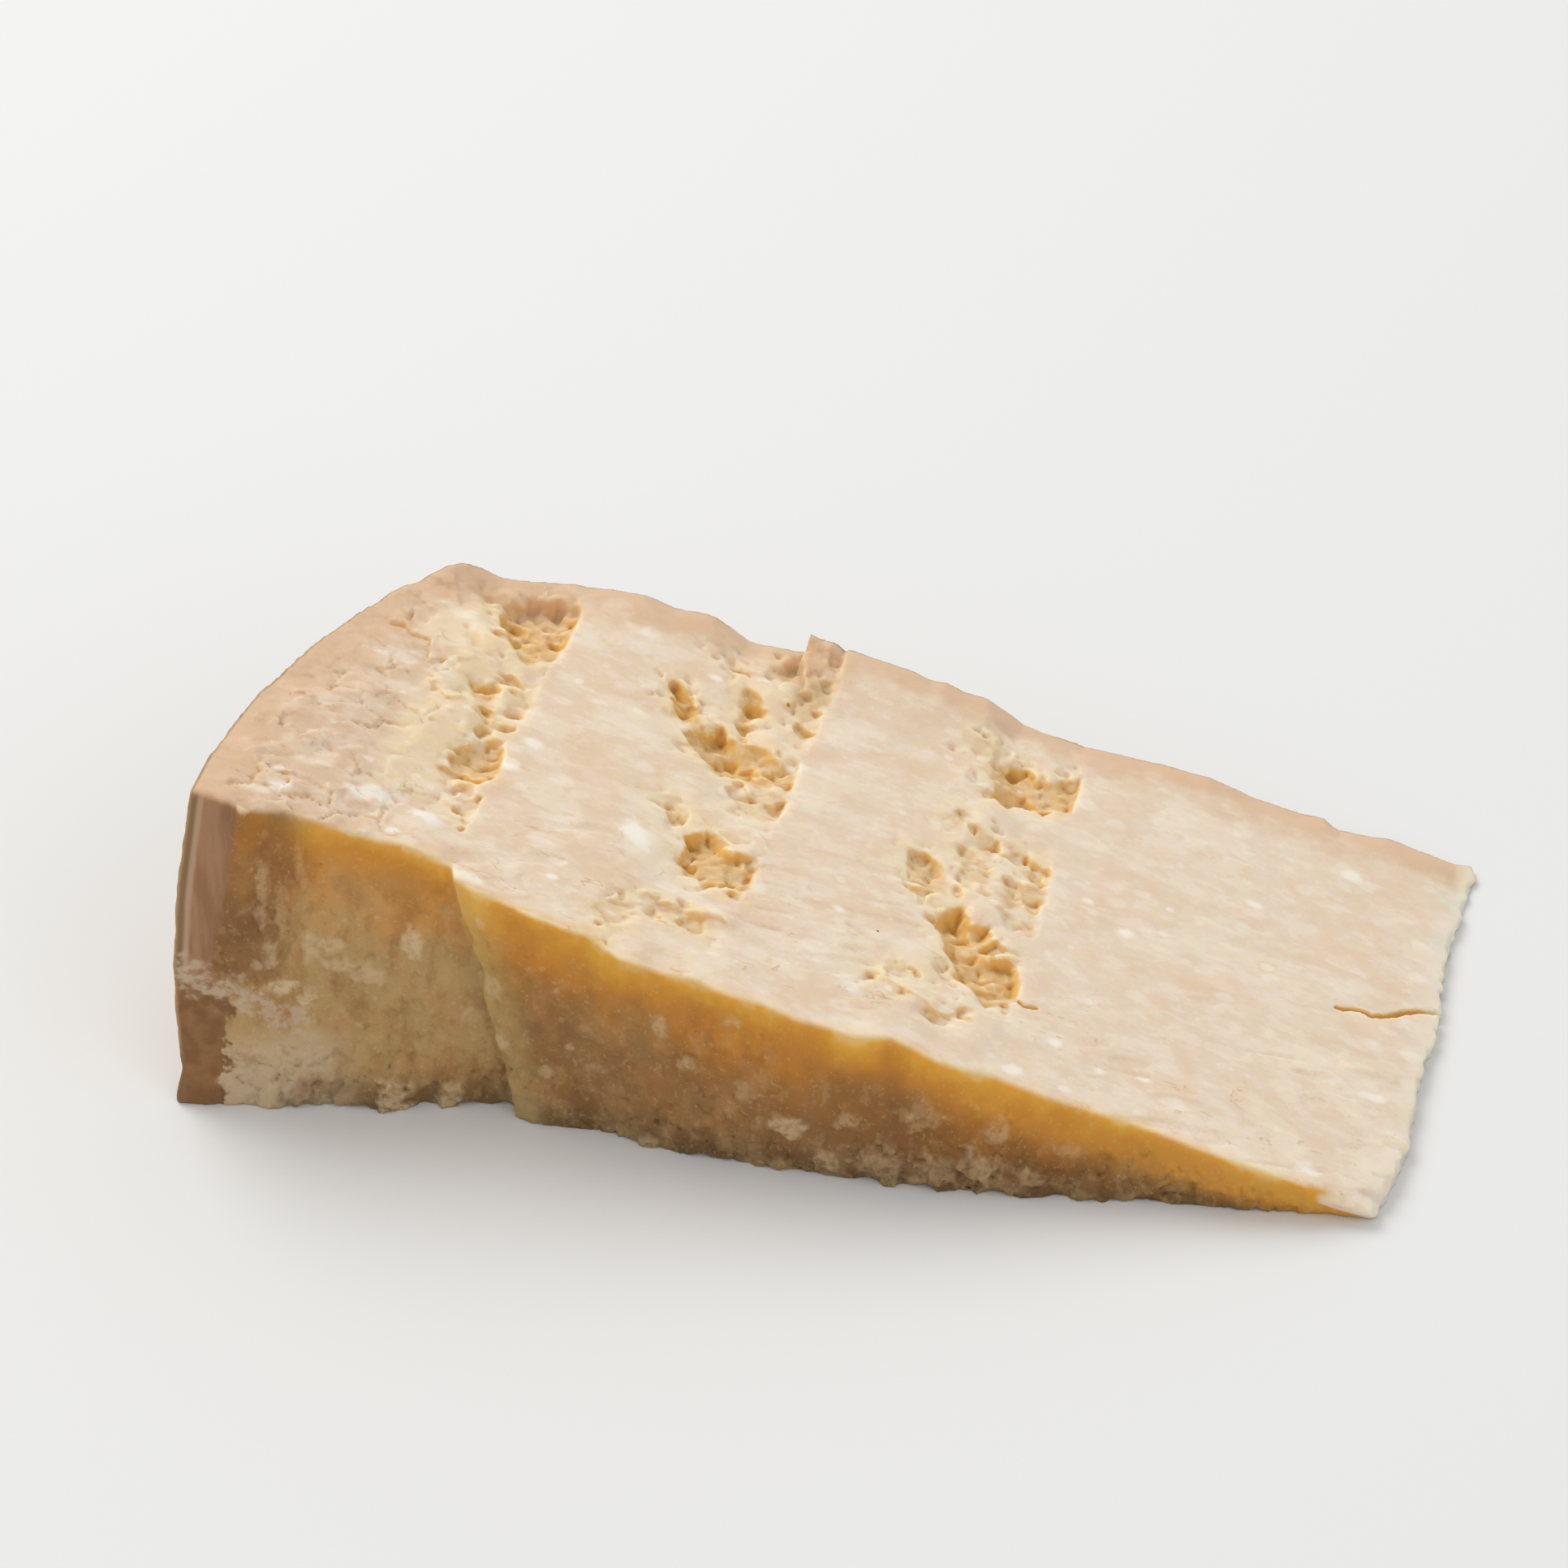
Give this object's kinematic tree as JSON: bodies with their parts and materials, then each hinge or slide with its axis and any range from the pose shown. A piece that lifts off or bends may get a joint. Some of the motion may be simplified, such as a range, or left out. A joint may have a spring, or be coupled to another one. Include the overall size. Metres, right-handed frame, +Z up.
{
  "type": "parmesan chunk",
  "caption": "Wedge of hard aged cheese, split at half the wheel's height, lying on a cut face, with knife-cut strips, torn pits and rind on two sides.",
  "frame": {"origin": "middle of the footprint, on the lower cut face that the chunk lies on", "axes": "+X from the wheel's side rind to the thin tip, +Y from the split front to the wheel's flat rind, +Z up"},
  "size_m": [0.208, 0.1056, 0.0582],
  "materials": {
    "cheese": "pale cream cut faces, soft satin to matt, golden brown at the rind and in the torn pits"
  },
  "bodies": {
    "root": {"parmesan_chunk": "cheese"}
  },
  "joints": []
}
